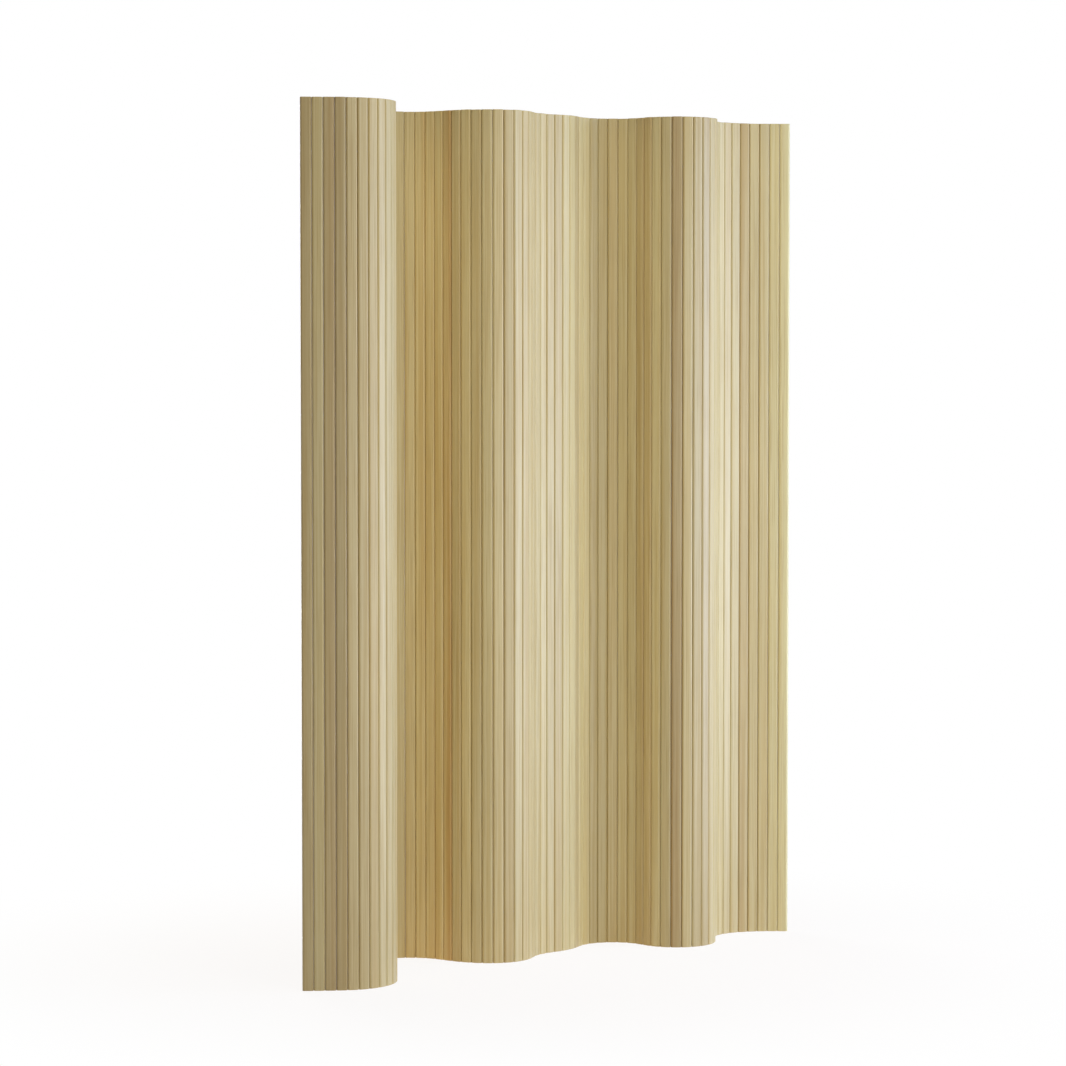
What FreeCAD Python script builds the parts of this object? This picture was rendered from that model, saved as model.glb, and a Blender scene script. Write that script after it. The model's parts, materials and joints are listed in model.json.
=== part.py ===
import FreeCAD, Part
import math
import os
import Sketcher

# A free-standing screen of upright pine slats threaded edge to edge on steel wires.
# It stands on its slats' ends in a wavy line. Millimetres and degrees, +Z up, +X along the line
# from the left end to the right end, +Y towards the back, origin at the middle of the floor box.

Vector = FreeCAD.Vector
UP = Vector(0, 0, 1)

# Each driving size: alias, value, what it is
SIZES = [
    ("slat_height", 1500, "length of a slat"),
    ("slat_width", 18.8, "width of a slat's face"),
    ("slat_thickness", 8, "thickness of a slat"),
    ("edge_flat", 1, "flat land left along a slat's edge between its two roundings"),
    ("end_bevel", 0.5, "bevel round a slat's ends"),
    ("bend_limit", 18, "most that two neighbours turn against each other, either way"),
    ("edge_play", 0.06, "gap left between two edges turned to that limit"),
    ("wire_count", 4, "wires, evenly spaced up the slats"),
    ("wire_diameter", 1.2, "steel wire rope"),
    ("wire_end_distance", 90, "outer wires from the slats' ends"),
    ("wire_play", 0.1, "least gap between a bent wire and its bore"),
    ("crimp_wall", 1.2, "wall of the sleeve crimped on a wire's end"),
    ("crimp_length", 7, "length of that sleeve"),
    ("crimp_chamfer", 0.3, "bevel round the sleeve's ends"),
    ("crimp_recess", 1, "sleeve's depth under the end slat's edge"),
    ("crimp_play", 0.1, "gap round the sleeve in its counterbore"),
    ("crimp_grip", 0.03, "gap between the sleeve and its wire"),
]

# The line that the screen stands in, from left to right: name, slats in the run, turn at each slat,
# positive to the left seen from above. One straight slat more stands at either end.
RUNS = [
    ("left_flap", 3, 2),
    ("left_fold", 11, 12),
    ("left_return", 4, -10),
    ("left_loop", 12, -12),
    ("bay_side", 4, 8),
    ("bay_front", 6, 15),
    ("step_back", 4, -11),
    ("step_on", 4, 9.5),
    ("hollow", 8, -16),
    ("right_bay", 10, 15.5),
    ("right_hollow", 6, -13),
    ("right_flap", 4, -6.5),
]

# Where a hole's circle is drawn before its constraints place it
FIRST_GUESS = 5

# An edge that rises less than this is level
FLAT = 0.001

# Slats that turn by themselves or in twos. The twos are those that bend least against each other.
LEAF_COUNT = 57


# The spreadsheet of driving sizes

def make_sheet(doc):
    sheet = doc.addObject("Spreadsheet::Sheet", "Sizes")
    rows = list(SIZES)
    for name, slats, turn in RUNS:
        rows.append((name + "_slats", slats, "slats in this run"))
        rows.append((name + "_turn", turn, "turn at each of them"))
    for number, (alias, value, meaning) in enumerate(rows, start=1):
        sheet.set(f"A{number}", meaning)
        sheet.set(f"B{number}", str(value))
        sheet.setAlias(f"B{number}", alias)
    doc.recompute()
    return sheet


# Sizes that follow from the driving ones, as expressions for the features

EDGE_RADIUS = "(Sizes.slat_thickness - Sizes.edge_flat) / 2"
# Two rounded edges turn about the middle of their gap, each by half of the limit
SLAT_GAP = (
    f"2 * (Sizes.edge_flat / 2 * sin(Sizes.bend_limit / 2) + {EDGE_RADIUS}"
    " * (1 - cos(Sizes.bend_limit / 2))) / cos(Sizes.bend_limit / 2) + Sizes.edge_play"
)
PITCH = f"(Sizes.slat_width + {SLAT_GAP})"
TIGHTEST_TURN = "max(" + "; ".join(f"abs(Sizes.{name}_turn)" for name, _, _ in RUNS) + ")"
# A wire bows off the middle of a slat by the height of its arc
BORE_RADIUS = (
    f"Sizes.wire_diameter / 2 + {PITCH} / 2 * tan({TIGHTEST_TURN} / 4) + Sizes.wire_play"
)
CRIMP_RADIUS = "Sizes.wire_diameter / 2 + Sizes.crimp_grip + Sizes.crimp_wall"
WIRE_SPAN = "Sizes.slat_height - 2 * Sizes.wire_end_distance"


def slat_pitch(sheet):
    half = math.radians(sheet.bend_limit / 2)
    radius = (sheet.slat_thickness - sheet.edge_flat) / 2
    lift = sheet.edge_flat / 2 * math.sin(half) + radius * (1 - math.cos(half))
    return sheet.slat_width + 2 * lift / math.cos(half) + sheet.edge_play


# The line of the screen in plan

def run_list(sheet):
    middle = [(int(sheet.get(n + "_slats")), float(sheet.get(n + "_turn"))) for n, _, _ in RUNS]
    return [(1, 0.0)] + middle + [(1, 0.0)]


def gap_turns(runs):
    """Turn at each gap: half of either neighbour's, so that the wires run on in tangent arcs."""
    own = [turn for slats, turn in runs for _ in range(slats)]
    return [(left + right) / 2 for left, right in zip(own, own[1:])]


def step(point, length, heading):
    angle = math.radians(heading)
    return point + Vector(math.cos(angle), math.sin(angle), 0) * length


def raw_line(turns, pitch):
    """Pivots and headings of the slats, starting at the origin along +X."""
    pivots = [Vector(0, 0, 0)]
    headings = [0.0]
    for turn in turns:
        pivots.append(step(pivots[-1], pitch, headings[-1]))
        headings.append(headings[-1] + turn)
    pivots.append(step(pivots[-1], pitch, headings[-1]))
    return pivots, headings


def slat_reach(sheet, heading):
    """How far a slat's rounded section reaches from its middle along X and along Y."""
    angle = math.radians(heading)
    radius = (sheet.slat_thickness - sheet.edge_flat) / 2
    half_width = sheet.slat_width / 2 - radius
    half_depth = sheet.edge_flat / 2
    along_x = abs(math.cos(angle)) * half_width + abs(math.sin(angle)) * half_depth + radius
    along_y = abs(math.sin(angle)) * half_width + abs(math.cos(angle)) * half_depth + radius
    return along_x, along_y


def screen_line(sheet):
    """Pivots and headings with the ends in line with X and the floor box centred on the origin."""
    pivots, headings = raw_line(gap_turns(run_list(sheet)), slat_pitch(sheet))
    span = pivots[-1] - pivots[0]
    turn = -math.degrees(math.atan2(span.y, span.x))
    spin = FreeCAD.Rotation(UP, turn)
    pivots = [spin.multVec(p) for p in pivots]
    headings = [h + turn for h in headings]
    lows = []
    highs = []
    for left, right, heading in zip(pivots, pivots[1:], headings):
        middle = (left + right) / 2
        along_x, along_y = slat_reach(sheet, heading)
        lows.append((middle.x - along_x, middle.y - along_y))
        highs.append((middle.x + along_x, middle.y + along_y))
    centre = Vector(
        (min(x for x, _ in lows) + max(x for x, _ in highs)) / 2,
        (min(y for _, y in lows) + max(y for _, y in highs)) / 2,
        0,
    )
    return [p - centre for p in pivots], headings


def slat_places(pivots, headings):
    places = []
    for left, right, heading in zip(pivots, pivots[1:], headings):
        places.append(FreeCAD.Placement((left + right) / 2, FreeCAD.Rotation(UP, heading)))
    return places


def leaves(turns):
    """Slat numbers of each leaf: one slat, or two whose gap turns least."""
    slats = len(turns) + 1
    shared = set()
    for gap in sorted(range(len(turns)), key=lambda g: (abs(turns[g]), g)):
        if len(shared) == slats - LEAF_COUNT:
            break
        if gap - 1 not in shared and gap + 1 not in shared:
            shared.add(gap)
    groups = [[0]]
    for number in range(1, slats):
        if number - 1 in shared:
            groups[-1].append(number)
        else:
            groups.append([number])
    return groups


def leaf_name(group):
    kind = "slat_" if len(group) == 1 else "slats_"
    return kind + "_".join(f"{number + 1:02d}" for number in group)


# Sketches and features

def origin_plane(body, role):
    return next(f for f in body.Origin.OriginFeatures if f.Role == role)


def new_sketch(body, name, role):
    sketch = body.newObject("Sketcher::SketchObject", name)
    sketch.AttachmentSupport = [(origin_plane(body, role), "")]
    sketch.MapMode = "FlatFace"
    return sketch


def size_constraint(sketch, kind, arguments, start, expression):
    number = sketch.addConstraint(Sketcher.Constraint(kind, *arguments, start))
    sketch.setExpression(f"Constraints[{number}]", expression)


def draw_rectangle(sketch, width, depth):
    """A rectangle centred on the sketch's origin, width along its X and depth along its Y."""
    corners = [Vector(-1, -1, 0), Vector(1, -1, 0), Vector(1, 1, 0), Vector(-1, 1, 0)]
    for here, there in zip(corners, corners[1:] + corners[:1]):
        sketch.addGeometry(Part.LineSegment(here, there), False)
    for line in range(4):
        sketch.addConstraint(Sketcher.Constraint("Coincident", line, 2, (line + 1) % 4, 1))
    for line in (0, 2):
        sketch.addConstraint(Sketcher.Constraint("Horizontal", line))
    for line in (1, 3):
        sketch.addConstraint(Sketcher.Constraint("Vertical", line))
    sketch.addConstraint(Sketcher.Constraint("Symmetric", 0, 1, 1, 2, -1, 1))
    size_constraint(sketch, "DistanceX", (0, 1, 0, 2), 2, width)
    size_constraint(sketch, "DistanceY", (1, 1, 1, 2), 2, depth)


def draw_circle(sketch, radius, height=None):
    """A circle on the sketch's Y axis, at the given height or on its origin."""
    number = sketch.addGeometry(Part.Circle(Vector(0, FIRST_GUESS, 0), UP, 1), False)
    size_constraint(sketch, "Radius", (number,), 1, radius)
    if height is None:
        sketch.addConstraint(Sketcher.Constraint("Coincident", number, 3, -1, 1))
        return
    sketch.addConstraint(Sketcher.Constraint("PointOnObject", number, 3, -2))
    size_constraint(sketch, "DistanceY", (-1, 1, number, 3), FIRST_GUESS, height)


def pattern_up(body, name, sketch, feature):
    """Repeats a hole at every wire's height."""
    pattern = body.newObject("PartDesign::LinearPattern", name)
    pattern.Originals = [feature]
    pattern.Direction = (sketch, ["V_Axis"])
    pattern.setExpression("Length", WIRE_SPAN)
    pattern.setExpression("Occurrences", "Sizes.wire_count")
    body.Tip = pattern
    return pattern


def check_cut(doc, body, before):
    doc.recompute()
    if body.Shape.Volume >= before:
        raise ValueError(f"a hole of {body.Label} cuts nothing")


# Slats

def slat_body(doc, name):
    """A slat on its end: face along X, thickness along Y, edges rounded, ends bevelled, bored for wires."""
    body = doc.addObject("PartDesign::Body", name)
    outline = new_sketch(body, name + "_section", "XY_Plane")
    draw_rectangle(outline, "Sizes.slat_width", "Sizes.slat_thickness")
    blank = body.newObject("PartDesign::Pad", name + "_blank")
    blank.Profile = outline
    blank.setExpression("Length", "Sizes.slat_height")
    doc.recompute()
    uprights = []
    for number, edge in enumerate(blank.Shape.Edges, start=1):
        if abs(edge.tangentAt(edge.FirstParameter).z) > 0.5:
            uprights.append(f"Edge{number}")
    rounding = body.newObject("PartDesign::Fillet", name + "_rounding")
    rounding.Base = (blank, uprights)
    rounding.setExpression("Radius", EDGE_RADIUS)
    doc.recompute()
    arrises = []
    for number, edge in enumerate(rounding.Shape.Edges, start=1):
        if edge.BoundBox.ZLength < FLAT:
            arrises.append(f"Edge{number}")
    bevel = body.newObject("PartDesign::Chamfer", name + "_end_bevel")
    bevel.Base = (rounding, arrises)
    bevel.setExpression("Size", "Sizes.end_bevel")
    doc.recompute()
    before = body.Shape.Volume
    centre = new_sketch(body, name + "_bore_centre", "YZ_Plane")
    draw_circle(centre, BORE_RADIUS, "Sizes.wire_end_distance")
    bore = body.newObject("PartDesign::Pocket", name + "_bore")
    bore.Profile = centre
    bore.Type = "ThroughAll"
    bore.SideType = "Symmetric"
    pattern_up(body, name + "_bores", centre, bore)
    check_cut(doc, body, before)
    return body


def end_slat_body(doc, name, side):
    """An end slat: its outer edge, at -X or +X by side, is counterbored for the crimped sleeves."""
    body = slat_body(doc, name)
    before = body.Shape.Volume
    mouth = new_sketch(body, name + "_mouth", "YZ_Plane")
    mouth.setExpression("AttachmentOffset.Base.z", f"{side} * Sizes.slat_width / 2")
    draw_circle(mouth, f"{CRIMP_RADIUS} + Sizes.crimp_play", "Sizes.wire_end_distance")
    counterbore = body.newObject("PartDesign::Pocket", name + "_counterbore")
    counterbore.Profile = mouth
    counterbore.setExpression("Length", "Sizes.crimp_recess + Sizes.crimp_length")
    counterbore.Reversed = side < 0
    pattern_up(body, name + "_counterbores", mouth, counterbore)
    check_cut(doc, body, before)
    return body


# Wires and the sleeves crimped on their ends

def crimp_body(doc):
    """A sleeve along +X with a bore for the wire and bevelled ends."""
    body = doc.addObject("PartDesign::Body", "crimp")
    ring = new_sketch(body, "crimp_ring", "YZ_Plane")
    draw_circle(ring, CRIMP_RADIUS)
    draw_circle(ring, "Sizes.wire_diameter / 2 + Sizes.crimp_grip")
    sleeve = body.newObject("PartDesign::Pad", "crimp_sleeve")
    sleeve.Profile = ring
    sleeve.setExpression("Length", "Sizes.crimp_length")
    doc.recompute()
    largest = max(e.Curve.Radius for e in sleeve.Shape.Edges if isinstance(e.Curve, Part.Circle))
    rims = []
    for number, edge in enumerate(sleeve.Shape.Edges, start=1):
        if isinstance(edge.Curve, Part.Circle) and edge.Curve.Radius > largest * 0.99:
            rims.append(f"Edge{number}")
    bevel = body.newObject("PartDesign::Chamfer", "crimp_bevel")
    bevel.Base = (sleeve, rims)
    bevel.setExpression("Size", "Sizes.crimp_chamfer")
    doc.recompute()
    return body


def wire_edges(sheet, pivots, headings):
    """A wire's route on the floor plane: one arc for each run, straight in the end slats."""
    pitch = slat_pitch(sheet)
    trim = pitch / 2 - sheet.slat_width / 2 + sheet.crimp_recess
    edges = []
    first = 0
    runs = run_list(sheet)
    for number, (slats, turn) in enumerate(runs):
        start = pivots[first]
        end = pivots[first + slats]
        if number == 0:
            start = step(start, trim, headings[0])
        if number == len(runs) - 1:
            end = step(end, -trim, headings[-1])
        if turn == 0:
            edges.append(Part.LineSegment(start, end))
        else:
            radius = pitch / (2 * math.sin(math.radians(turn / 2)))
            chord = 2 * radius * math.sin(math.radians(slats * turn / 4))
            middle = step(start, chord, headings[first] - turn / 2 + slats * turn / 4)
            edges.append(Part.Arc(start, middle, end))
        first += slats
    return [edge.toShape() for edge in edges]


def wire_sweep(doc, sheet, pivots, headings):
    """One wire at floor level, from sleeve end to sleeve end."""
    route = doc.addObject("Part::Feature", "wire_route")
    route.Shape = Part.Wire(wire_edges(sheet, pivots, headings))
    section = doc.addObject("Part::Circle", "wire_section")
    section.setExpression("Radius", "Sizes.wire_diameter / 2")
    along = step(Vector(0, 0, 0), 1, headings[0])
    start = route.Shape.OrderedVertexes[0].Point
    section.Placement = FreeCAD.Placement(start, FreeCAD.Rotation(UP, along))
    wire = doc.addObject("Part::Sweep", "wire")
    wire.Spine = (route, [f"Edge{n}" for n in range(1, len(route.Shape.Edges) + 1)])
    wire.Sections = [section]
    wire.Solid = True
    doc.recompute()
    whole = math.pi * sheet.wire_diameter ** 2 / 4 * route.Shape.Length
    print(f"wire {route.Shape.Length:.1f} mm long, volume {wire.Shape.Volume / whole:.5f} of its section's")
    return wire


def wire_heights(sheet):
    count = int(sheet.wire_count)
    gap = (sheet.slat_height - 2 * sheet.wire_end_distance) / max(count - 1, 1)
    return [sheet.wire_end_distance + number * gap for number in range(count)]


# The finished sub-parts, each placed and named

def place_copy(doc, source, name, placement):
    copy = doc.addObject("App::Link", name)
    copy.LinkedObject = source
    copy.Placement = placement
    return copy


def add_group(doc, name, copies):
    group = doc.addObject("Part::Compound", name)
    group.Label = name
    group.Links = copies
    return group


def add_leaves(doc, groups, places):
    plain = slat_body(doc, "slat_form")
    left = end_slat_body(doc, "left_end_form", -1)
    right = end_slat_body(doc, "right_end_form", 1)
    last = len(places) - 1
    nodes = []
    for group in groups:
        copies = []
        for number in group:
            form = {0: left, last: right}.get(number, plain)
            copies.append(place_copy(doc, form, f"place_{number + 1:02d}", places[number]))
        nodes.append(add_group(doc, leaf_name(group), copies))
    return nodes


def add_wires(doc, sheet, pivots, headings):
    wire = wire_sweep(doc, sheet, pivots, headings)
    copies = []
    for number, height in enumerate(wire_heights(sheet), start=1):
        placement = FreeCAD.Placement(UP * height, FreeCAD.Rotation())
        copies.append(place_copy(doc, wire, f"wire_{number}", placement))
    return [add_group(doc, "wires", copies)]


def add_crimps(doc, sheet, places):
    crimp = crimp_body(doc)
    inset = sheet.slat_width / 2 - sheet.crimp_recess
    ends = [
        ("left_crimps", places[0], -inset),
        ("right_crimps", places[-1], inset - sheet.crimp_length),
    ]
    nodes = []
    for name, place, along in ends:
        copies = []
        for number, height in enumerate(wire_heights(sheet), start=1):
            offset = FreeCAD.Placement(Vector(along, 0, height), FreeCAD.Rotation())
            copies.append(place_copy(doc, crimp, f"{name}_{number}", place.multiply(offset)))
        nodes.append(add_group(doc, name, copies))
    return nodes


def check_document(doc, nodes):
    doc.recompute()
    for item in doc.Objects:
        if "Invalid" in item.State or "Error" in item.State:
            raise ValueError(f"{item.Label} failed: {item.State}")
    for node in nodes:
        if node.Shape.isNull() or not node.Shape.isValid():
            raise ValueError(f"{node.Label} has no valid shape")


def build():
    doc = FreeCAD.newDocument("slatted_screen")
    sheet = make_sheet(doc)
    pivots, headings = screen_line(sheet)
    places = slat_places(pivots, headings)
    groups = leaves(gap_turns(run_list(sheet)))
    nodes = add_leaves(doc, groups, places)
    nodes += add_wires(doc, sheet, pivots, headings)
    nodes += add_crimps(doc, sheet, places)
    check_document(doc, nodes)
    return nodes


def export(nodes):
    os.makedirs("parts", exist_ok=True)
    for node in nodes:
        node.Shape.exportStep(f"parts/{node.Label}.step")


export(build())
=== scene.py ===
"""Looks of a free-standing screen of lacquered pine slats threaded on steel wires."""
import json
import math
import random

import bmesh
import bpy
import numpy as np
from mathutils import Matrix, Vector

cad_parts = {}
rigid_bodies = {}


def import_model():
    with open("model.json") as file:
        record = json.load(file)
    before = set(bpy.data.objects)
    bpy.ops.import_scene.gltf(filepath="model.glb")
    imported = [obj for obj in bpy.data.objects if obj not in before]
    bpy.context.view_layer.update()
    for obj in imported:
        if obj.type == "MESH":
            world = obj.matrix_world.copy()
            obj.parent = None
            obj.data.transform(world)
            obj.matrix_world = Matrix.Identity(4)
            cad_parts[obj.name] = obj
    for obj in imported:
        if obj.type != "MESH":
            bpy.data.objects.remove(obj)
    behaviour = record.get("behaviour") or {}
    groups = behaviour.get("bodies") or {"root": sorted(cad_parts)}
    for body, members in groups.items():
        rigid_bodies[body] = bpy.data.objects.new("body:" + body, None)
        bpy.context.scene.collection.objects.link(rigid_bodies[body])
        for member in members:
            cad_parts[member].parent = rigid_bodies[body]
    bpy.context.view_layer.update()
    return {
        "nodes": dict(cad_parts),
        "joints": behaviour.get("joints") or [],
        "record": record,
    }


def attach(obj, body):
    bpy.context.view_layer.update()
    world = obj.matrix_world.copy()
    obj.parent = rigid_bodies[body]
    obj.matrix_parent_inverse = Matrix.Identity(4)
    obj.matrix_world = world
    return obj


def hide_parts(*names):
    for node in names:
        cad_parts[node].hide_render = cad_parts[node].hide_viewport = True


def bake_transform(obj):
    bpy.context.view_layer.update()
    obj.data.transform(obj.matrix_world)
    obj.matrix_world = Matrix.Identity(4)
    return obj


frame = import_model()

# Sizes in metres
MM = 0.001
SLAT_HEIGHT = 1500 * MM
SLAT_WIDTH = 18.8 * MM
SLAT_THICKNESS = 8 * MM
EDGE_RADIUS = 3.5 * MM
EDGE_CROWN = 0.12 * MM
WIRE_COUNT = 4
WIRE_END_DISTANCE = 90 * MM
WIRE_RADIUS = 0.6 * MM
BORE_RADIUS = 1.37 * MM
MOUTH_RADIUS = 1.93 * MM
MOUTH_DEPTH = 8 * MM
CRIMP_RECESS = 1 * MM

# The screen's line from left to right: slats in the run, degrees that each of them turns
RUNS = [
    (1, 0),
    (3, 2),
    (11, 12),
    (4, -10),
    (12, -12),
    (4, 8),
    (6, 15),
    (4, -11),
    (4, 9.5),
    (8, -16),
    (10, 15.5),
    (6, -13),
    (4, -6.5),
    (1, 0),
]

# Hinges of the frame, named after the slats beside them, that give the line its pitch and its place
PITCH_HINGES = ("hinge_21_22", "hinge_22_23")
PLACE_HINGES = ("hinge_02_03", "hinge_76_77")

# What sawing, drying and hand work leave on a slat
SIDE_CLEARANCE = 0.03 * MM
END_EASING = 0.5 * MM
MOST_SIDE_BOW = 0.03 * MM
SIDE_BOW_WAVES = (0.8, 1.6)
MOST_FACE_BOW = 0.15 * MM
MOST_TWIST = math.radians(0.7)
TWIST_CENTRES = (0.3, 0.7)
MOST_SHORT = 0.7 * MM

# The part of a slat's section that its four roundings leave straight
CORE_HALF_WIDTH = SLAT_WIDTH / 2 - SIDE_CLEARANCE - EDGE_RADIUS
CORE_HALF_DEPTH = SLAT_THICKNESS / 2 - EDGE_RADIUS

# Length of the tree's stem that the boards' grain is drawn from
GRAIN_LENGTH = 40.0

# Mesh fineness
CORNER_STEPS = 8
CROWN_SHARES = (-0.5, 0.0, 0.5)
LEVELS = 24
BORE_SIDES = 20
WIRE_SIDES = 10
WIRE_STEPS = 6

# Faces that look this nearly the way the rounded section does belong to a slat's outside
OUTSIDE_MATCH = 0.9

SEED = 1207
RIGHT_ANGLE = math.radians(90)
UP = Vector((0, 0, 1))


# The line of the screen

def slat_turns():
    return [turn for slats, turn in RUNS for _ in range(slats)]


def along(heading, length):
    return Vector((math.cos(heading), math.sin(heading), 0)) * length


def raw_line(pitch):
    """Pivots between the slats and the slats' headings, from the origin along +X."""
    turns = slat_turns()
    pivots = [Vector((0, 0, 0))]
    headings = [0.0]
    for here, there in zip(turns, turns[1:]):
        pivots.append(pivots[-1] + along(headings[-1], pitch))
        headings.append(headings[-1] + math.radians(here + there) / 2)
    pivots.append(pivots[-1] + along(headings[-1], pitch))
    return pivots, headings


def hinge_place(name):
    hinge = next(j for j in frame["joints"] if j["name"] == name)
    return Vector((hinge["pos_m"][0], hinge["pos_m"][1], 0))


def pivot_number(hinge_name):
    """The pivot that a hinge stands on: as many slats lie to the left of it."""
    return int(hinge_name.split("_")[1])


def screen_line():
    """The line laid on the frame's own hinges."""
    before, after = [hinge_place(name) for name in PITCH_HINGES]
    pitch = (after - before).length
    pivots, headings = raw_line(pitch)
    raw_first, raw_last = [pivots[pivot_number(name)] for name in PLACE_HINGES]
    first, last = [hinge_place(name) for name in PLACE_HINGES]
    found = raw_last - raw_first
    wanted = last - first
    spin = math.atan2(wanted.y, wanted.x) - math.atan2(found.y, found.x)
    turn = Matrix.Rotation(spin, 4, "Z")
    shift = first - turn @ raw_first
    return [turn @ p + shift for p in pivots], [h + spin for h in headings], pitch


def slat_numbers(body):
    """The slats of a body, counted from 0, as its name gives them."""
    return [int(number) - 1 for number in body.split("_")[1:]]


# One slat's form, on its end at the origin with its face along X

def slat_section(inset):
    """Points round a slat's section, drawn in by the inset, with a slight crown on its two edges."""
    radius = EDGE_RADIUS - inset
    points = []
    for quarter, (side, face) in enumerate([(1, 1), (-1, 1), (-1, -1), (1, -1)]):
        for number in range(CORNER_STEPS + 1):
            angle = RIGHT_ANGLE * (quarter + number / CORNER_STEPS)
            x = side * CORE_HALF_WIDTH + radius * math.cos(angle)
            y = face * CORE_HALF_DEPTH + radius * math.sin(angle)
            points.append((x, y))
        if side == face:
            continue
        edge = side * (CORE_HALF_WIDTH + radius)
        for share in CROWN_SHARES:
            crown = side * EDGE_CROWN * (1 - share ** 2)
            points.append((edge + crown, side * share * CORE_HALF_DEPTH))
    return points


def blank_mesh():
    """A closed slat without its bores, its ends' arrises eased."""
    body = [END_EASING + (SLAT_HEIGHT - 2 * END_EASING) * n / LEVELS for n in range(LEVELS + 1)]
    rings = [(0.0, END_EASING)] + [(z, 0.0) for z in body] + [(SLAT_HEIGHT, END_EASING)]
    form = bmesh.new()
    loops = [[form.verts.new((x, y, z)) for x, y in slat_section(inset)] for z, inset in rings]
    for low, high in zip(loops, loops[1:]):
        for n in range(len(low)):
            after = (n + 1) % len(low)
            form.faces.new((low[n], low[after], high[after], high[n]))
    form.faces.new(loops[0][::-1])
    form.faces.new(loops[-1])
    mesh = bpy.data.meshes.new("slat_blank")
    form.to_mesh(mesh)
    form.free()
    return mesh


def wire_heights():
    step = (SLAT_HEIGHT - 2 * WIRE_END_DISTANCE) / (WIRE_COUNT - 1)
    return [WIRE_END_DISTANCE + n * step for n in range(WIRE_COUNT)]


def drill(radius, start, end):
    """A drill along X from start to end at every wire's height."""
    across = Matrix.Rotation(RIGHT_ANGLE, 4, "Y")
    form = bmesh.new()
    for height in wire_heights():
        bmesh.ops.create_cone(
            form,
            cap_ends=True,
            segments=BORE_SIDES,
            radius1=radius,
            radius2=radius,
            depth=end - start,
            matrix=Matrix.Translation(((start + end) / 2, 0, height)) @ across,
        )
    mesh = bpy.data.meshes.new("drill")
    form.to_mesh(mesh)
    form.free()
    return bpy.data.objects.new("drill", mesh)


def bored(mesh, drills):
    """A mesh with the drills taken out of it."""
    blank = bpy.data.objects.new("blank", mesh)
    bpy.context.collection.objects.link(blank)
    for tool in drills:
        bpy.context.collection.objects.link(tool)
        cut = blank.modifiers.new("bore", "BOOLEAN")
        cut.object = tool
        cut.operation = "DIFFERENCE"
        cut.solver = "EXACT"
    depsgraph = bpy.context.evaluated_depsgraph_get()
    result = bpy.data.meshes.new_from_object(blank.evaluated_get(depsgraph))
    for item in [blank] + drills:
        bpy.data.objects.remove(item)
    return result


def surface_normal(point):
    """The normal of a slat's rounded section at a point of its outside."""
    inner_x = max(-CORE_HALF_WIDTH, min(CORE_HALF_WIDTH, point.x))
    inner_y = max(-CORE_HALF_DEPTH, min(CORE_HALF_DEPTH, point.y))
    return Vector((point.x - inner_x, point.y - inner_y, 0)).normalized()


def corner_normals(mesh):
    """True round normals on the outside, flat ones on the ends and in the bores."""
    normals = []
    for face in mesh.polygons:
        outside = surface_normal(face.center).dot(face.normal) > OUTSIDE_MATCH
        for index in face.vertices:
            if outside:
                normals.append(surface_normal(mesh.vertices[index].co))
            else:
                normals.append(face.normal.copy())
    return normals


class SlatForm:
    """Points, faces and corner normals of a slat; side is -1 or 1 where an outer edge has mouths, else 0."""

    def __init__(self, side):
        reach = SLAT_WIDTH
        drills = [drill(BORE_RADIUS, -reach, reach)]
        if side:
            bottom = side * (SLAT_WIDTH / 2 - MOUTH_DEPTH)
            drills.append(drill(MOUTH_RADIUS, *sorted((bottom, side * reach))))
        mesh = bored(blank_mesh(), drills)
        self.points = np.array([v.co for v in mesh.vertices])
        self.faces = [list(face.vertices) for face in mesh.polygons]
        self.normals = np.array(corner_normals(mesh))
        bpy.data.meshes.remove(mesh)


# Tones of the boards

# Boards that stand out in the photograph, counted from 1: lightness, heartwood and the side it leans to.
# Besides the boards' own tone, some entries paint light and shade into the wood: 28 to 32 are lightened and
# warmed as painted bounce light in the hollow, 1 to 4 are darkened as painted shade on the left lobe's
# shaded flank, 63, 64 and 72 are darkened to paint down the key light's highlight on the right lobe, and 77
# and 78 are made paler and cooler as painted key light at the right end.
BOARD_TONES_AND_PAINTED_LIGHT = {
    1: (-1.7, 0.2, -0.9),
    2: (-0.7, -0.6, 0.0),
    3: (-1.6, 0.6, 1.0),
    4: (-2.0, 0.3, -0.6),
    28: (1.6, 0.35, 0.0),
    29: (2.6, 0.45, 0.2),
    30: (3.0, 0.5, 0.2),
    31: (3.4, 0.5, -0.2),
    32: (3.2, 1.3, 0.3),
    33: (0.6, 0.3, 0.0),
    34: (1.6, 0.0, 0.0),
    47: (0.6, -0.6, 0.0),
    48: (1.0, -0.7, 0.0),
    50: (1.9, -0.7, 0.3),
    51: (1.4, -0.6, 0.0),
    52: (-0.8, -0.2, 0.0),
    53: (-0.7, -0.2, 0.0),
    57: (0.0, 0.7, 0.0),
    58: (0.6, 0.7, 0.0),
    60: (-1.0, 0.1, 0.0),
    61: (-1.9, 1.2, -0.4),
    63: (-1.0, 0.2, 0.0),
    64: (-1.3, 0.6, 0.5),
    72: (-0.4, 0.1, 0.2),
    74: (-0.6, 0.7, -0.7),
    77: (0.3, -0.8, 0.0),
    78: (0.9, -1.2, 0.3),
}

# How much the other boards differ
LIGHTNESS_SPREAD = 0.4
HEARTWOOD_SPREAD = 0.12
LEAST_HEARTWOOD = -0.3


def slat_tone(number, draw):
    """Lightness and heartwood of a board, both about 0, and the side that its heartwood leans to."""
    lightness = draw.gauss(0, LIGHTNESS_SPREAD)
    heartwood = max(LEAST_HEARTWOOD, draw.gauss(0, HEARTWOOD_SPREAD))
    lean = draw.uniform(-1, 1)
    # Listed boards carry painted light and shade in their lightness and heartwood as well as their own tone.
    return BOARD_TONES_AND_PAINTED_LIGHT.get(number + 1, (lightness, heartwood, lean))


# Slats on their bodies

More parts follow.
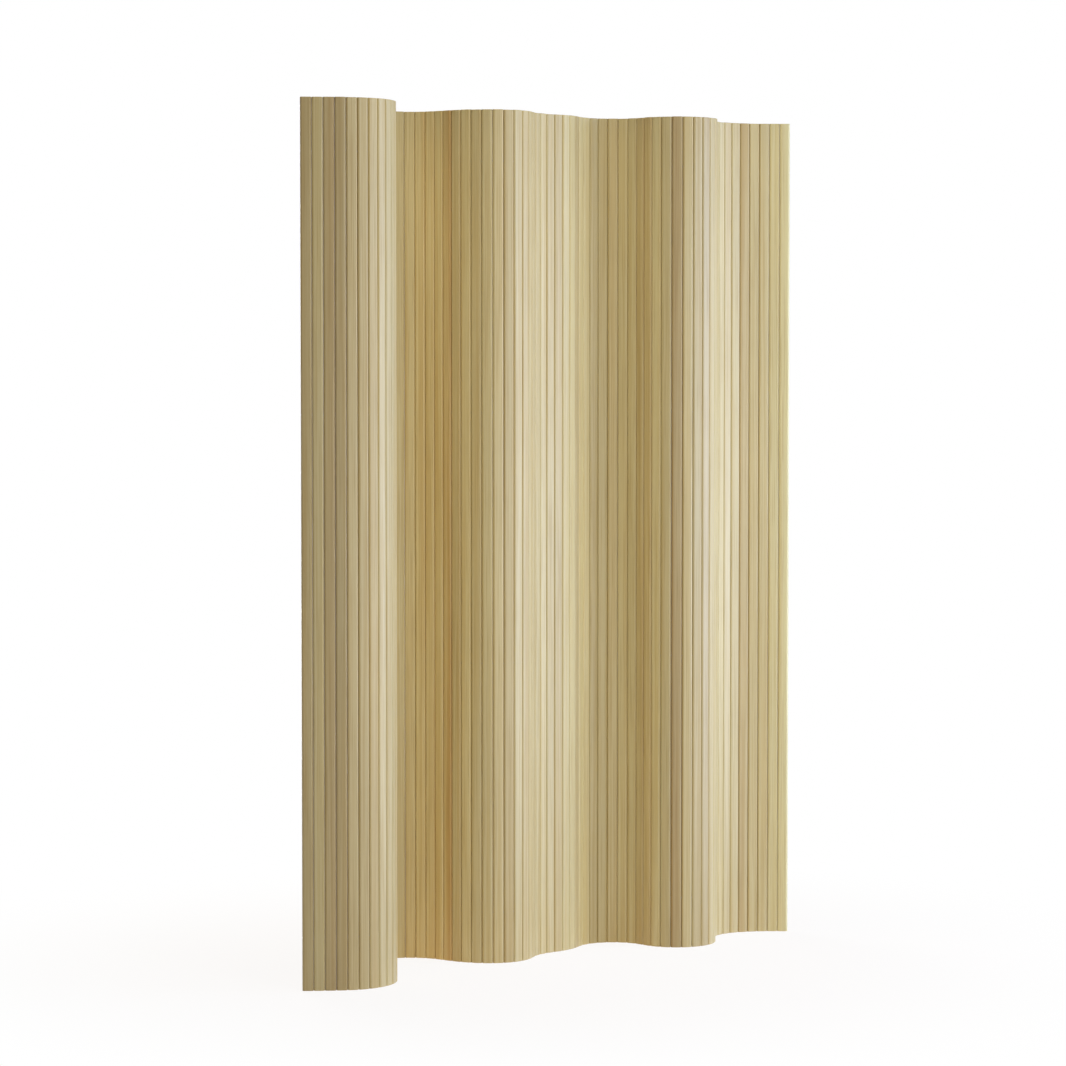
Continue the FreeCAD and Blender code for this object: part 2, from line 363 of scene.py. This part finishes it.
def grown(points, draw):
    """A slat's points with the slight bow, twist and shortness of a real board."""
    share = points[:, 2] / SLAT_HEIGHT
    phase = draw.uniform(0, math.pi)
    waves = draw.uniform(*SIDE_BOW_WAVES) * math.pi
    side_bow = draw.uniform(-1, 1) * MOST_SIDE_BOW * np.sin(waves * share + phase)
    face_bow = draw.uniform(-1, 1) * MOST_FACE_BOW * np.sin(math.pi * share)
    twist = draw.uniform(-1, 1) * MOST_TWIST * (share - draw.uniform(*TWIST_CENTRES))
    short = draw.uniform(0, 1) * MOST_SHORT
    x = points[:, 0] * np.cos(twist) - points[:, 1] * np.sin(twist) + side_bow
    y = points[:, 0] * np.sin(twist) + points[:, 1] * np.cos(twist) + face_bow
    return np.column_stack((x, y, points[:, 2] - short * share))


def vector_attribute(mesh, name, values):
    attribute = mesh.attributes.new(name, "FLOAT_VECTOR", "POINT")
    attribute.data.foreach_set("vector", np.asarray(values, dtype=np.float32).ravel())


def leaf_piece(body, forms, line, material):
    """The slats of one body as one mesh, with what their grain needs."""
    pivots, headings, _ = line
    points = []
    faces = []
    normals = []
    grain = []
    tones = []
    for number in slat_numbers(body):
        form = forms["plain"]
        if number == 0:
            form = forms["left"]
        elif number == len(headings) - 1:
            form = forms["right"]
        draw = random.Random(SEED + number)
        base = sum(len(part) for part in points)
        spin = np.array(Matrix.Rotation(headings[number], 3, "Z"))
        middle = np.array((pivots[number] + pivots[number + 1]) / 2)
        points.append(grown(form.points, draw) @ spin.T + middle)
        faces += [[base + index for index in face] for face in form.faces]
        normals.append(form.normals @ spin.T)
        grain.append(form.points + np.array((0, 0, draw.uniform(0, GRAIN_LENGTH))))
        tones.append(np.tile(slat_tone(number, draw), (len(form.points), 1)))
    mesh = bpy.data.meshes.new("pine_" + body)
    mesh.from_pydata(np.concatenate(points).tolist(), [], faces)
    mesh.shade_smooth()
    mesh.normals_split_custom_set(np.concatenate(normals).tolist())
    vector_attribute(mesh, "grain", np.concatenate(grain))
    vector_attribute(mesh, "tone", np.concatenate(tones))
    mesh.materials.append(material)
    piece = bpy.data.objects.new("pine_" + body, mesh)
    bpy.context.collection.objects.link(piece)
    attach(piece, body)
    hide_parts(body)


# Wires

def wire_route(first, last, line):
    """Points of a wire at floor level, bowed in every slat so that it runs on smoothly through the gaps."""
    pivots, headings, pitch = line
    turns = slat_turns()
    points = []
    for step in range(round(first * WIRE_STEPS), round(last * WIRE_STEPS) + 1):
        number = min(step // WIRE_STEPS, len(headings) - 1)
        share = step / WIRE_STEPS - number
        # Rise of an arc that turns as far as the slat does
        bow = pitch / 2 * math.tan(math.radians(turns[number]) / 4)
        aside = -bow * (1 - (2 * share - 1) ** 2)
        place = pivots[number].lerp(pivots[number + 1], share)
        points.append(place + along(headings[number] + RIGHT_ANGLE, aside))
    return points


def add_tube(form, route, height):
    """A closed tube of wire along the route, at a height."""
    rings = []
    for n, point in enumerate(route):
        before = route[max(n - 1, 0)]
        after = route[min(n + 1, len(route) - 1)]
        aside = (after - before).normalized().cross(UP)
        ring = []
        for side in range(WIRE_SIDES):
            angle = 2 * math.pi * side / WIRE_SIDES
            offset = aside * math.cos(angle) + UP * math.sin(angle)
            ring.append(form.verts.new(point + offset * WIRE_RADIUS + UP * height))
        rings.append(ring)
    for low, high in zip(rings, rings[1:]):
        for n in range(WIRE_SIDES):
            after = (n + 1) % WIRE_SIDES
            form.faces.new((low[n], high[n], high[after], low[after]))
    form.faces.new(rings[0])
    form.faces.new(rings[-1][::-1])


def wire_piece(hinge, line, material):
    """All wires across one hinge, from the middle of its left leaf's first slat to the right leaf's.

    The first and last pieces run on to the wires' ends, which lie level with their sleeves.
    """
    pivots, headings, pitch = line
    slats = len(headings)
    left, right = sorted((hinge["parent"], hinge["child"]), key=slat_numbers)
    first = slat_numbers(left)[0]
    last = slat_numbers(right)[0]
    if slat_numbers(right)[-1] == slats - 1:
        last = slats - 1
    route = wire_route(first + 0.5, last + 0.5, line)
    end_share = (pitch / 2 - SLAT_WIDTH / 2 + CRIMP_RECESS) / pitch
    if first == 0:
        route.insert(0, pivots[0].lerp(pivots[1], end_share))
    if last == slats - 1:
        route.append(pivots[slats].lerp(pivots[slats - 1], end_share))
    form = bmesh.new()
    for height in wire_heights():
        add_tube(form, route, height)
    bmesh.ops.recalc_face_normals(form, faces=form.faces)
    mesh = bpy.data.meshes.new("wire_" + hinge["name"])
    form.to_mesh(mesh)
    form.free()
    mesh.shade_smooth()
    mesh.materials.append(material)
    piece = bpy.data.objects.new("wire_" + hinge["name"], mesh)
    bpy.context.collection.objects.link(piece)
    gap = pivot_number(hinge["name"])
    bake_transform(piece)
    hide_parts("wires")


# Pine: colours, what heartwood takes from them, and the lightness of one step of a board's tone
STRAW = (0.68, 0.59, 0.305, 1)
HONEY = (0.63, 0.51, 0.225, 1)
LATEWOOD = (0.48, 0.345, 0.12, 1)
END_GRAIN = (0.60, 0.45, 0.21, 1)
HEARTWOOD_LOSS = (-0.13, -0.22, -0.30)
TONE_STEP = 0.08

# Pine: grain drawn out along the board, and how fine its streaks, lines and fibres are
FIBRE_STRETCH = (1.0, 1.0, 0.012)
STREAK_SCALE = 150.0
LINE_SCALE = 620.0
LINE_DETAIL = 3.0
FIBRE_SCALE = 2400.0
CLOUD_SCALE = 2.5
RING_SPACING = 3.4 * MM
RING_WANDER = 6 * MM
RING_SLOPE = 2.0

# Pine: spans of noise or ring, from low to high, and what they give at the two ends, if not 0 and 1
LATEWOOD_RINGS = (0.1, 1.0)
LATEWOOD_LINES = (0.3, 0.75)
LATEWOOD_SHARE = 0.32
HONEY_STREAKS = (0.35, 0.7)
LINE_MARKS = (0.5, 0.7, 0.0, 0.38)
FIBRE_MARKS = (0.5, 0.85, 0.0, 0.22)
HEART_STREAKS = (0.3, 0.9, 0.55, 1.15)
CLOUD_LEVELS = (0.3, 0.7, 0.97, 1.03)
END_RINGS = (-0.2, 0.9)
END_FACES = (0.6, 0.9)

# Pine: lacquer and relief
LACQUER_ROUGHNESS = (0.3, 0.7, 0.42, 0.54)
END_ROUGHNESS = 0.2
COAT_WEIGHT = 0.4
COAT_ROUGHNESS = 0.5
FIBRE_RELIEF = 0.6
GRAIN_DEPTH = 0.04 * MM

# Steel
STEEL_DARK = (0.48, 0.48, 0.47, 1)
STEEL_LIGHT = (0.66, 0.66, 0.64, 1)
STEEL_SCALE = 900.0
STEEL_DETAIL = 3.0
STEEL_ROUGHNESS = (0.3, 0.7, 0.26, 0.42)
STEEL_DEPTH = 0.02 * MM


class Nodes:
    """A short way to lay out the nodes of a material or of the world."""

    def __init__(self, owner):
        owner.use_nodes = True
        self.tree = owner.node_tree

    def inputs(self, name):
        return self.tree.nodes[name].inputs

    def node(self, kind, settings=None, **inputs):
        made = self.tree.nodes.new(kind)
        for key, value in (settings or {}).items():
            setattr(made, key, value)
        for key, value in inputs.items():
            self.put(made.inputs[key], value)
        return made

    def put(self, socket, value):
        if isinstance(value, bpy.types.NodeSocket):
            self.tree.links.new(value, socket)
        else:
            socket.default_value = value

    def operate(self, kind, operation, values):
        made = self.node(kind, {"operation": operation})
        for socket, value in zip(made.inputs, values):
            self.put(socket, value)
        return made.outputs[0]

    def math(self, operation, *values):
        return self.operate("ShaderNodeMath", operation, values)

    def vector_math(self, operation, *values):
        return self.operate("ShaderNodeVectorMath", operation, values)

    def attribute(self, name):
        return self.node("ShaderNodeAttribute", {"attribute_name": name}).outputs["Vector"]

    def split(self, vector):
        return self.node("ShaderNodeSeparateXYZ", Vector=vector).outputs

    def grey(self, value):
        return self.node("ShaderNodeCombineXYZ", X=value, Y=value, Z=value).outputs[0]

    def noise(self, vector, scale, detail=2.0):
        return self.node("ShaderNodeTexNoise", Vector=vector, Scale=scale, Detail=detail).outputs["Fac"]

    def span(self, value, low, high, to_low=0.0, to_high=1.0):
        made = self.node("ShaderNodeMapRange", {"interpolation_type": "SMOOTHSTEP"}, Value=value)
        made.inputs["From Min"].default_value = low
        made.inputs["From Max"].default_value = high
        made.inputs["To Min"].default_value = to_low
        made.inputs["To Max"].default_value = to_high
        return made.outputs["Result"]

    def mix(self, share, first, second):
        made = self.node("ShaderNodeMix", {"data_type": "RGBA"}, Factor=share)
        colours = [socket for socket in made.inputs if socket.type == "RGBA"]
        self.put(colours[0], first)
        self.put(colours[1], second)
        return next(socket for socket in made.outputs if socket.type == "RGBA")

    def bump(self, height, depth):
        return self.node("ShaderNodeBump", Height=height, Distance=depth, Strength=1.0).outputs["Normal"]


def pine_material():
    """Clear-lacquered pine: straight rings seen on edge, warmer heartwood, boards of differing tone."""
    material = bpy.data.materials.new("lacquered_pine")
    nodes = Nodes(material)
    grain = nodes.attribute("grain")
    across, depth, _ = nodes.split(grain)
    lightness, heartwood, lean = nodes.split(nodes.attribute("tone"))
    fibre = nodes.vector_math("MULTIPLY", grain, FIBRE_STRETCH)
    broad = nodes.noise(fibre, STREAK_SCALE)
    lines = nodes.noise(fibre, LINE_SCALE, LINE_DETAIL)
    fine = nodes.noise(fibre, FIBRE_SCALE)
    cloud = nodes.noise(grain, CLOUD_SCALE)

    wander = nodes.math("MULTIPLY_ADD", broad, RING_WANDER, across)
    slope = nodes.math("MULTIPLY_ADD", nodes.math("MULTIPLY", depth, lean), RING_SLOPE, wander)
    ring = nodes.math("SINE", nodes.math("MULTIPLY", slope, 2 * math.pi / RING_SPACING))
    latewood = nodes.math("MULTIPLY", nodes.span(ring, *LATEWOOD_RINGS), nodes.span(lines, *LATEWOOD_LINES))

    colour = nodes.mix(nodes.span(broad, *HONEY_STREAKS), STRAW, HONEY)
    colour = nodes.mix(nodes.math("MULTIPLY", latewood, LATEWOOD_SHARE), colour, LATEWOOD)
    colour = nodes.mix(nodes.span(lines, *LINE_MARKS), colour, LATEWOOD)
    colour = nodes.mix(nodes.span(fine, *FIBRE_MARKS), colour, LATEWOOD)

    side = nodes.math("MULTIPLY", nodes.math("MULTIPLY", across, lean), 2 / SLAT_WIDTH)
    streak = nodes.span(nodes.math("ADD", side, broad), *HEART_STREAKS)
    heart = nodes.grey(nodes.math("MULTIPLY", heartwood, streak))
    tint = nodes.vector_math("MULTIPLY_ADD", heart, HEARTWOOD_LOSS, (1.0, 1.0, 1.0))
    level = nodes.math("MULTIPLY_ADD", lightness, TONE_STEP, nodes.span(cloud, *CLOUD_LEVELS))
    tint = nodes.vector_math("MULTIPLY", tint, nodes.grey(level))
    colour = nodes.vector_math("MULTIPLY", colour, tint)

    upright = nodes.split(nodes.node("ShaderNodeNewGeometry").outputs["Normal"])[2]
    at_end = nodes.span(nodes.math("ABSOLUTE", upright), *END_FACES)
    end_colour = nodes.mix(nodes.span(ring, *END_RINGS), END_GRAIN, LATEWOOD)
    dullness = nodes.math("MULTIPLY_ADD", at_end, END_ROUGHNESS, nodes.span(lines, *LACQUER_ROUGHNESS))
    relief = nodes.math("ADD", latewood, nodes.math("MULTIPLY", fine, FIBRE_RELIEF))

    surface = nodes.inputs("Principled BSDF")
    nodes.put(surface["Base Color"], nodes.mix(at_end, colour, end_colour))
    nodes.put(surface["Roughness"], dullness)
    nodes.put(surface["Coat Weight"], COAT_WEIGHT)
    nodes.put(surface["Coat Roughness"], COAT_ROUGHNESS)
    nodes.put(surface["Normal"], nodes.bump(relief, GRAIN_DEPTH))
    return material


def steel_material():
    """Bright drawn steel, a little dulled."""
    material = bpy.data.materials.new("drawn_steel")
    nodes = Nodes(material)
    place = nodes.node("ShaderNodeTexCoord").outputs["Object"]
    cloud = nodes.noise(place, STEEL_SCALE, STEEL_DETAIL)
    surface = nodes.inputs("Principled BSDF")
    nodes.put(surface["Base Color"], nodes.mix(cloud, STEEL_DARK, STEEL_LIGHT))
    nodes.put(surface["Metallic"], 1.0)
    nodes.put(surface["Roughness"], nodes.span(cloud, *STEEL_ROUGHNESS))
    nodes.put(surface["Normal"], nodes.bump(cloud, STEEL_DEPTH))
    return material


# Camera at the photograph's view, in metres and in millimetres of lens and film
CAMERA_AZIMUTH = math.radians(-36.67)
CAMERA_TILT = math.radians(-2.56)
CAMERA_PLACE = Vector((-3.7781, -5.0726, 1.0379))
LENS = 120.0
FILM_WIDTH = 36.0

# Softboxes: name, bearing from the camera's side towards its right, distance, height, size, watts, colour
PLAIN = (1.0, 1.0, 1.0)
COOL = (0.85, 1.0, 1.46)
SOFTBOXES = [
    ("key", 88, 2.1, 0.86, (1.5, 1.9), 31.0, COOL),
    ("front", 25, 2.1, 0.95, (0.7, 1.9), 12.4, PLAIN),
    ("back", -150, 2.4, 0.95, (1.4, 1.9), 48.0, PLAIN),
    ("top", 0, 0.6, 3.2, (2.0, 2.0), 23.0, PLAIN),
]
LIGHT_TARGET = Vector((0.0, 0.0, 0.78))

# The room: its light as fill and as seen in the lacquer's sheen
WHITE = (1, 1, 1, 1)
FILL_LEVEL = 0.02
SHEEN_LEVEL = 0.3

# The floor: paint, a warm painted bounce light that it gives off as a glow of its own, though it is no lamp,
# and where it runs out into white
FLOOR_HALF = 30.0
FLOOR_PAINT = (0.82, 0.82, 0.81, 1)
FLOOR_ROUGHNESS = 0.9
FLOOR_SPECULAR = 0.1
FLOOR_GLOW = (0.25, 0.135, 0.05, 1)
FLOOR_WHITE = (0.4, 1.3, 0.88, 1.0)


def add_world():
    """White to the eye, a dim grey room in the lacquer's sheen and a faint fill as light."""
    world = bpy.data.worlds.new("studio")
    nodes = Nodes(world)
    rays = nodes.node("ShaderNodeLightPath").outputs
    seen = nodes.math("MAXIMUM", rays["Is Camera Ray"], rays["Is Transmission Ray"])
    sheen = nodes.span(rays["Is Glossy Ray"], 0.0, 1.0, FILL_LEVEL, SHEEN_LEVEL)
    background = nodes.inputs("Background")
    nodes.put(background["Color"], WHITE)
    nodes.put(background["Strength"], nodes.math("MAXIMUM", seen, sheen))
    bpy.context.scene.world = world


def floor_material():
    """Pale paint that shows white to the eye and in reflections, least so near the screen."""
    material = bpy.data.materials.new("pale_floor")
    nodes = Nodes(material)
    paint = nodes.inputs("Principled BSDF")
    nodes.put(paint["Base Color"], FLOOR_PAINT)
    nodes.put(paint["Roughness"], FLOOR_ROUGHNESS)
    nodes.put(paint["Specular IOR Level"], FLOOR_SPECULAR)
    # Painted bounce light: the floor glows warm, lighting the slats' lower parts as a lamp would.
    nodes.put(paint["Emission Color"], FLOOR_GLOW)
    nodes.put(paint["Emission Strength"], 1.0)
    rays = nodes.node("ShaderNodeLightPath").outputs
    seen = nodes.math("MAXIMUM", rays["Is Camera Ray"], rays["Is Glossy Ray"])
    seen = nodes.math("MAXIMUM", seen, rays["Is Transmission Ray"])
    place = nodes.node("ShaderNodeNewGeometry").outputs["Position"]
    distance = nodes.node("ShaderNodeVectorMath", {"operation": "LENGTH"}, Vector=place).outputs["Value"]
    both = nodes.node("ShaderNodeMixShader")
    nodes.put(both.inputs[0], nodes.math("MULTIPLY", seen, nodes.span(distance, *FLOOR_WHITE)))
    nodes.put(both.inputs[1], nodes.tree.nodes["Principled BSDF"].outputs[0])
    nodes.put(both.inputs[2], nodes.node("ShaderNodeEmission", Color=WHITE).outputs[0])
    nodes.put(nodes.inputs("Material Output")["Surface"], both.outputs[0])
    return material


def add_floor():
    """A pale floor that keeps a soft shadow near the screen and runs out into white."""
    mesh = bpy.data.meshes.new("floor")
    corners = [(-1, -1, 0), (1, -1, 0), (1, 1, 0), (-1, 1, 0)]
    mesh.from_pydata([Vector(c) * FLOOR_HALF for c in corners], [], [(0, 1, 2, 3)])
    mesh.materials.append(floor_material())
    floor = bpy.data.objects.new("floor", mesh)
    bpy.context.collection.objects.link(floor)


def add_softbox(name, bearing, distance, height, size, power, colour):
    """A soft lamp that stands round the screen and looks at its middle."""
    angle = CAMERA_AZIMUTH + math.radians(bearing) - RIGHT_ANGLE
    lamp = bpy.data.lights.new(name, "AREA")
    lamp.shape = "RECTANGLE"
    lamp.size, lamp.size_y = size
    lamp.energy = power
    lamp.color = colour
    box = bpy.data.objects.new(name, lamp)
    box.location = along(angle, distance) + UP * height
    box.rotation_euler = (LIGHT_TARGET - box.location).to_track_quat("-Z", "Y").to_euler()
    bpy.context.collection.objects.link(box)


def add_camera():
    """The camera at the photograph's view, a little above the screen's middle and tilted down at it."""
    lens = bpy.data.cameras.new("photo_view")
    lens.lens = LENS
    lens.sensor_width = FILM_WIDTH
    camera = bpy.data.objects.new("photo_view", lens)
    camera.location = CAMERA_PLACE
    camera.rotation_euler = (RIGHT_ANGLE + CAMERA_TILT, 0, CAMERA_AZIMUTH)
    bpy.context.collection.objects.link(camera)
    bpy.context.scene.camera = camera


# The whole scene

def build():
    pine = pine_material()
    steel = steel_material()
    line = screen_line()
    forms = {"plain": SlatForm(0), "left": SlatForm(-1), "right": SlatForm(1)}
    for body in frame["record"]["behaviour"]["bodies"]:
        leaf_piece(body, forms, line, pine)
    for hinge in frame["joints"]:
        wire_piece(hinge, line, steel)
    for name in ("left_crimps", "right_crimps"):
        node = frame["nodes"][name]
        node.data.materials.clear()
        node.data.materials.append(steel)
    add_world()
    add_floor()
    for softbox in SOFTBOXES:
        add_softbox(*softbox)
    add_camera()
    bpy.context.scene.view_settings.view_transform = "Standard"


build()
